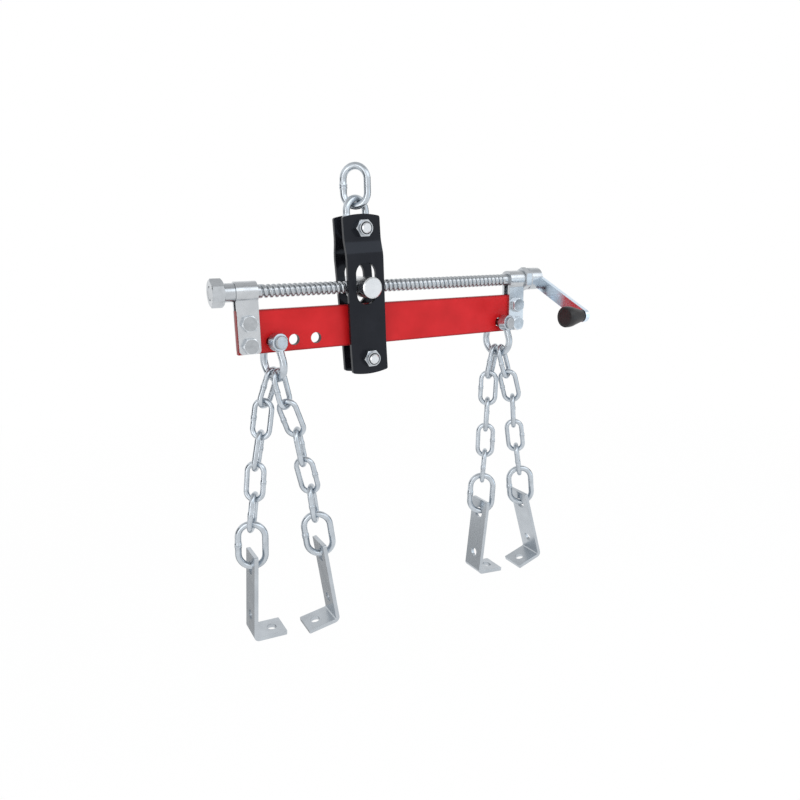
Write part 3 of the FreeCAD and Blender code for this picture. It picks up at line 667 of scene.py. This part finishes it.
def screw():
    """Screw with its thread between the straps, and plain ends with a chamfer."""
    low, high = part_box("lead_screw")
    axis_point = (low + high) / 2
    radius = (high.z - low.z) / 2
    crest = radius - CREST_DROP
    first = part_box("left_clamp_strap")[1].x
    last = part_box("right_clamp_strap")[0].x
    # The line that is turned is one pitch long, so the thread is one pitch longer than its turns
    turns = math.floor((last - first) / THREAD_PITCH) - 1
    threaded = (turns + 1) * THREAD_PITCH
    start = (first + last - threaded) / 2
    bm = bmesh.new()
    thread = []
    for share, depth in THREAD_FORM:
        rise = crest - depth * THREAD_DEPTH
        thread.append((start + share * THREAD_PITCH, axis_point.y, axis_point.z + rise))
    edges = joined_up(bm, thread)[1]
    bmesh.ops.spin(bm, geom=edges, cent=axis_point, axis=X_AXIS, dvec=X_AXIS * THREAD_PITCH / THREAD_STEPS,
                   angle=FULL_TURN * turns, steps=THREAD_STEPS * turns)
    bmesh.ops.remove_doubles(bm, verts=bm.verts, dist=JOIN_GAP)
    for way, shoulder, end in ((-1, start, low.x), (1, start + threaded, high.x)):
        loop = screw_rim(bm, axis_point, way)
        for x, reach in ((shoulder, crest), (shoulder, radius), (end - way * SCREW_END_CHAMFER, radius),
                         (end, radius - SCREW_END_CHAMFER)):
            loop = lay_loop(bm, loop, axis_point, x, reach)
        bmesh.ops.remove_doubles(bm, verts=bm.verts, dist=JOIN_GAP)
        bmesh.ops.holes_fill(bm, edges=screw_rim(bm, axis_point, way))
    bmesh.ops.recalc_face_normals(bm, faces=bm.faces)
    return add_piece("threaded_screw", bm, zinc_screw, "lead_screw", SCREW_SHARP)


def hardware():
    """Plates, bars and fasteners keep their form and get rounded edges, and the bows their forged flow."""
    for node in ("front_side_plate", "rear_side_plate"):
        softened(node, black_paint, PLATE_EDGE, WIDE_STEPS, bend=PLATE_BEND)
    softened("beam", red_paint, BAR_EDGE)
    for side in ("left", "right"):
        softened(f"{side}_clamp_strap", zinc_strap, BAR_EDGE, WIDE_STEPS)
        forged(f"{side}_shackle_bow", zinc_wire)
        softened(f"{side}_shackle_pin", zinc_bolt, SHACKLE_PIN_EDGE)
    for chain in CHAINS:
        softened(f"{chain}_bracket", zinc_bracket, BRACKET_EDGE, WIDE_STEPS)
    for node in ("lock_nuts", "clamp_nuts", "end_nut", "jam_nut"):
        softened(node, zinc_nut, FASTENER_EDGE)
    softened("clamp_bolts", zinc_head, FASTENER_EDGE, tip_way=1)
    for node in ("top_bolt", "bottom_bolt"):
        softened(node, zinc_turned, FASTENER_EDGE, tip_way=-1)
    for node in ("spacer_sleeve", "bottom_roller", "crank_hub", "grip_spindle"):
        softened(node, zinc_collar, FASTENER_EDGE)
    softened("travelling_nut", zinc_turned, FASTENER_EDGE)
    softened("crank_arm", zinc_arm_painted_reflection, BAR_EDGE, WIDE_STEPS)
    softened("lock_nut_inserts", nut_nylon, INSERT_EDGE)


lifting_links()
for chain_name in CHAINS:
    chain_links(chain_name)
screw()
grip()
spring_pin()
hardware()


# Stage

# Floor: drop below the lowest piece, radius, sides and tone
FLOOR_DROP = 0.22
FLOOR_REACH = 6.0
FLOOR_SIDES = 64
FLOOR_TONE = 0.95
# Share of plain white under the object, radius where the floor is all white, and the outer share of that
# radius over which it becomes so
FLOOR_GLOW = 0.93
FLOOR_FADE = 2.4
FLOOR_FADE_SHARE = 0.6
# Roughness of floor, screens and card
MATT = 0.9

# World: its light on the object, and the grey overhead, by the sine of the angle above level
WORLD_LIGHT = 0.94
OVERHEAD_GREY = 0.45
OVERHEAD_START = math.sin(math.radians(33))
OVERHEAD_FULL = math.sin(math.radians(62))

# Camera as in the photo
VIEW_AZIMUTH = math.radians(-28.95)
VIEW_ELEVATION = math.radians(13.4)
VIEW_ROLL = math.radians(-0.9)
VIEW_DISTANCE = 0.84515
VIEW_AIM = Vector((0.0560, 0.0, -0.2860))
LENS = 28.8
SENSOR = 36.0

# Screens beside the object: their start and end, in degrees round it from the line of sight behind it
LEFT_SCREEN = (86, 125)
RIGHT_SCREEN = (42, 70)
SCREEN_GREY = 0.03
SCREEN_DISTANCE = 3.0
SCREEN_HALF_HEIGHT = 1.0
SCREEN_STEPS = 12

# Grey card just over the floor, behind the left brackets: its low and high corner in X and Y
CARD_LOW = (-0.80, 0.12)
CARD_HIGH = (-0.05, 0.95)
CARD_GREY = 0.50
CARD_LIFT = 2.0 * MM

# Lamps: name, place, width and height, power in watts, colour
WHITE = (1.0, 1.0, 1.0)
COOL = (0.88, 0.94, 1.0)
BLUE = (0.45, 0.75, 1.0)
LAMPS = (("key", Vector((0.55, -1.55, 0.95)), (2.8, 1.0), 8.8, COOL),
         ("side", Vector((1.30, -1.20, -0.30)), (0.9, 0.9), 1.1, BLUE),
         ("strip", Vector((-1.40, -0.88, -0.10)), (0.35, 1.6), 3.2, WHITE),
         ("top", Vector((0.0, 0.3, 1.4)), (2.4, 1.8), 2.5, WHITE))


def sees_background(tree):
    """1 for rays that show the background itself: from the camera, off metal or through glass."""
    path = tree.nodes.new("ShaderNodeLightPath")
    seen = path.outputs["Is Camera Ray"]
    for ray in ("Is Glossy Ray", "Is Transmission Ray"):
        seen = reckoned(tree, "MAXIMUM", seen, path.outputs[ray])
    return seen


def two_shaders(tree, share, lit, white, output):
    """Joins the lit shader, where the share is 0, and the white one, where it is 1, to the output."""
    mix = tree.nodes.new("ShaderNodeMixShader")
    tree.links.new(share, mix.inputs["Fac"])
    tree.links.new(lit.outputs[0], mix.inputs[1])
    tree.links.new(white.outputs[0], mix.inputs[2])
    tree.links.new(mix.outputs["Shader"], tree.nodes[output].inputs["Surface"])


def studio_world():
    """Even soft light, and white where the background shows, with grey overhead."""
    world = bpy.data.worlds.new("studio")
    bpy.context.scene.world = world
    world.use_nodes = True
    tree = world.node_tree
    lit = tree.nodes["Background"]
    lit.inputs["Strength"].default_value = WORLD_LIGHT
    white = tree.nodes.new("ShaderNodeBackground")
    for background in (lit, white):
        background.inputs["Color"].default_value = (*WHITE, 1.0)
    way = tree.nodes.new("ShaderNodeSeparateXYZ")
    tree.links.new(tree.nodes.new("ShaderNodeTexCoord").outputs["Generated"], way.inputs["Vector"])
    overhead = spread_out(tree, way.outputs["Z"], 1.0, OVERHEAD_GREY, OVERHEAD_START, OVERHEAD_FULL)
    tree.links.new(overhead, white.inputs["Strength"])
    two_shaders(tree, sees_background(tree), lit, white, "World Output")


def matt_grey(name, level):
    """Plain matt finish for the stage."""
    finish = Finish(name)
    finish.set(Roughness=MATT, Base_Color=(*grey(level), 1.0))
    return finish


def pale_floor(place):
    """Floor that keeps a soft shadow under the object and fades to white further out."""
    finish = matt_grey("pale_floor", FLOOR_TONE)
    tree = finish.tree
    scale = 1 / FLOOR_FADE
    fade = tree.nodes.new("ShaderNodeTexGradient")
    fade.gradient_type = "SPHERICAL"
    tree.links.new(finish.stretched((scale, scale, scale), shift=-place * scale), fade.inputs["Vector"])
    glow = finish.spread(fade.outputs["Fac"], 1.0, FLOOR_GLOW, start=0.0, stop=FLOOR_FADE_SHARE)
    share = reckoned(tree, "MULTIPLY", glow, sees_background(tree))
    two_shaders(tree, share, finish.shader, tree.nodes.new("ShaderNodeEmission"), "Material Output")
    return finish.material


def stage_piece(name, bm, material):
    """Mesh that belongs to the stage and not to the object."""
    piece = mesh_object(name, bm, material)
    return piece


def screen(name, side, start_turn, end_turn):
    """Upright screen, hidden from the camera, that gives the metal its darker sides."""
    first = VIEW_AZIMUTH - side * math.radians(start_turn)
    start = VIEW_AIM + Vector((-math.sin(first), math.cos(first), 0)) * SCREEN_DISTANCE
    bm = bmesh.new()
    heights = (-SCREEN_HALF_HEIGHT, SCREEN_HALF_HEIGHT)
    verts, edges = joined_up(bm, [start + Z_AXIS * height for height in heights])
    bmesh.ops.spin(bm, geom=verts + edges, cent=VIEW_AIM, axis=Z_AXIS,
                   angle=-side * math.radians(end_turn - start_turn), steps=SCREEN_STEPS)
    stage_piece(name, bm, matt_grey(name, SCREEN_GREY).material).visible_camera = False


def grey_card(level):
    """Flat card that shows only in the metal above it."""
    bm = bmesh.new()
    front = joined_up(bm, [(x, CARD_LOW[1], level) for x in (CARD_LOW[0], CARD_HIGH[0])])[1]
    drawn_on(bm, front, Y_AXIS * (CARD_HIGH[1] - CARD_LOW[1]))
    card = stage_piece("grey_card", bm, matt_grey("grey_card", CARD_GREY).material)
    card.visible_camera = False
    card.visible_diffuse = False
    card.visible_shadow = False


def soft_box(name, place, size, power, colour):
    """Rectangular lamp that points at what the camera points at."""
    lamp = bpy.data.lights.new(name, "AREA")
    lamp.shape = "RECTANGLE"
    lamp.size, lamp.size_y = size
    lamp.energy = power
    lamp.color = colour
    box = bpy.data.objects.new(name, lamp)
    box.location = place
    box.rotation_euler = (VIEW_AIM - place).to_track_quat("-Z", "Y").to_euler()
    bpy.context.scene.collection.objects.link(box)


def studio():
    """World, floor, card, screens and lamps."""
    studio_world()
    floor_place = Vector((VIEW_AIM.x, 0, cad_box[0][2] - FLOOR_DROP))
    bm = bmesh.new()
    bmesh.ops.create_circle(bm, cap_ends=True, segments=FLOOR_SIDES, radius=FLOOR_REACH,
                            matrix=Matrix.Translation(floor_place))
    stage_piece("floor", bm, pale_floor(floor_place))
    grey_card(floor_place.z + CARD_LIFT)
    screen("left_screen", -1, *LEFT_SCREEN)
    screen("right_screen", 1, *RIGHT_SCREEN)
    for lamp in LAMPS:
        soft_box(*lamp)


def camera():
    """Camera at the photo's viewing angle."""
    lens = bpy.data.cameras.new("photo_view")
    lens.lens = LENS
    lens.sensor_width = SENSOR
    back = Vector((math.sin(VIEW_AZIMUTH) * math.cos(VIEW_ELEVATION),
                   -math.cos(VIEW_AZIMUTH) * math.cos(VIEW_ELEVATION),
                   math.sin(VIEW_ELEVATION)))
    level = Vector((math.cos(VIEW_AZIMUTH), math.sin(VIEW_AZIMUTH), 0))
    rise = back.cross(level)
    right = level * math.cos(VIEW_ROLL) + rise * math.sin(VIEW_ROLL)
    up = rise * math.cos(VIEW_ROLL) - level * math.sin(VIEW_ROLL)
    stand = bpy.data.objects.new("photo_view", lens)
    place = Matrix.Translation(VIEW_AIM + back * VIEW_DISTANCE)
    stand.matrix_world = place @ Matrix((right, up, back)).transposed().to_4x4()
    bpy.context.scene.collection.objects.link(stand)
    bpy.context.scene.camera = stand


studio()
camera()
bpy.context.scene.view_settings.view_transform = "Standard"
